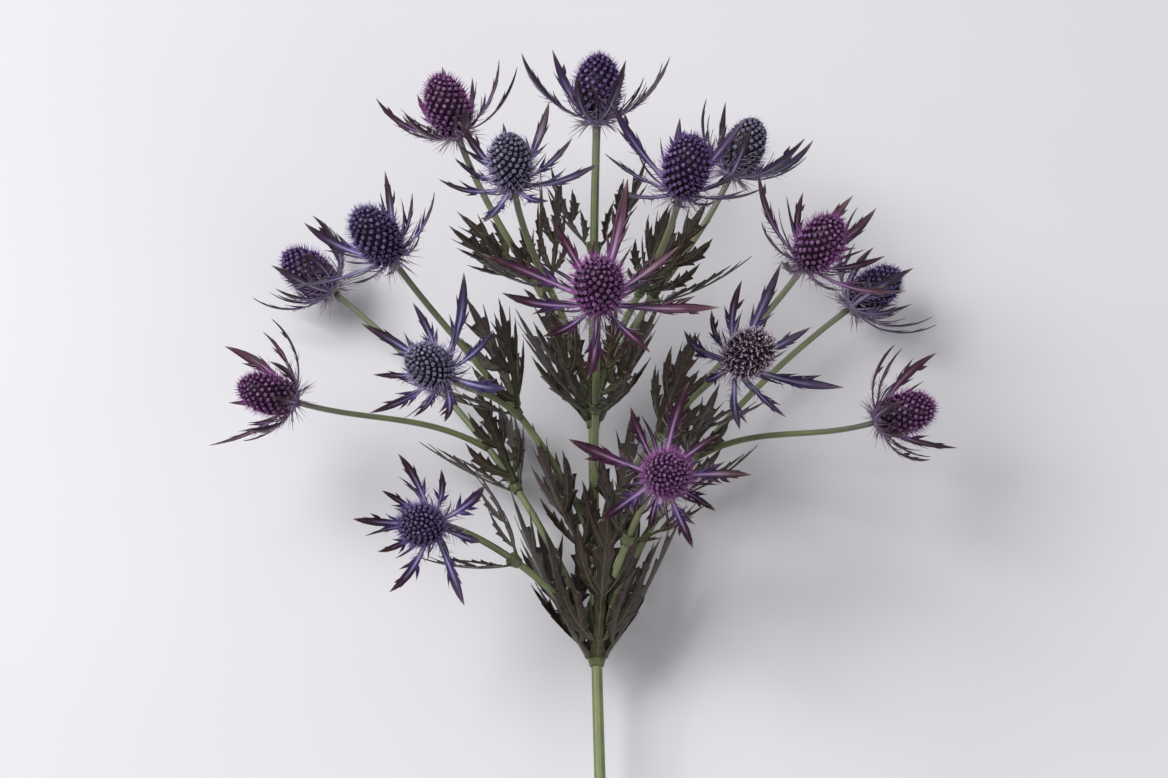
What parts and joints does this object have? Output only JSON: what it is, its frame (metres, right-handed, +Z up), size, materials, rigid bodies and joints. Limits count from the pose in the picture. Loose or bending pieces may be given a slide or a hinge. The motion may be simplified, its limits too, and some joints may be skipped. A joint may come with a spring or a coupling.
{
  "type": "sea holly stem",
  "caption": "Cut sea holly stem laid flat: a branched green stalk with thimble heads of violet florets, each on a star of spiny bracts, and spiny leaves at the forks.",
  "frame": {"origin": "on the table under the middle of the laid stem's box", "axes": "+Y from the cut end to the tip of the spray, +Z up from the table, +X to the right seen from above"},
  "size_m": [0.2701, 0.4434, 0.1663],
  "materials": {
    "stem": "satin green plant stalk, waxy and faintly ribbed",
    "florets": "matt crowded florets, lilac and dark violet",
    "bracts": "satin violet bracts with maroon tips",
    "leaves": "satin dark green and maroon leaves with paler veins"
  },
  "bodies": {
    "root": {"stem": "stem", "head_01": "florets", "head_02": "florets", "head_03": "florets", "head_04": "florets", "head_05": "florets", "head_06": "florets", "head_07": "florets", "head_08": "florets", "head_09": "florets", "head_10": "florets", "head_11": "florets", "head_12": "florets", "head_13": "florets", "head_14": "florets", "head_15": "florets", "head_16": "florets", "bracts_01": "bracts", "bracts_02": "bracts", "bracts_03": "bracts", "bracts_04": "bracts", "bracts_05": "bracts", "bracts_06": "bracts", "bracts_07": "bracts", "bracts_08": "bracts", "bracts_09": "bracts", "bracts_10": "bracts", "bracts_11": "bracts", "bracts_12": "bracts", "bracts_13": "bracts", "bracts_14": "bracts", "bracts_15": "bracts", "bracts_16": "bracts", "leaves_01": "leaves", "leaves_02": "leaves", "leaves_03": "leaves", "leaves_04": "leaves", "leaves_05": "leaves", "leaves_06": "leaves", "leaves_07": "leaves", "leaves_08": "leaves", "leaves_09": "leaves", "leaves_10": "leaves", "leaves_11": "leaves", "leaves_12": "leaves", "leaves_13": "leaves", "leaves_14": "leaves", "leaves_15": "leaves"}
  },
  "joints": []
}
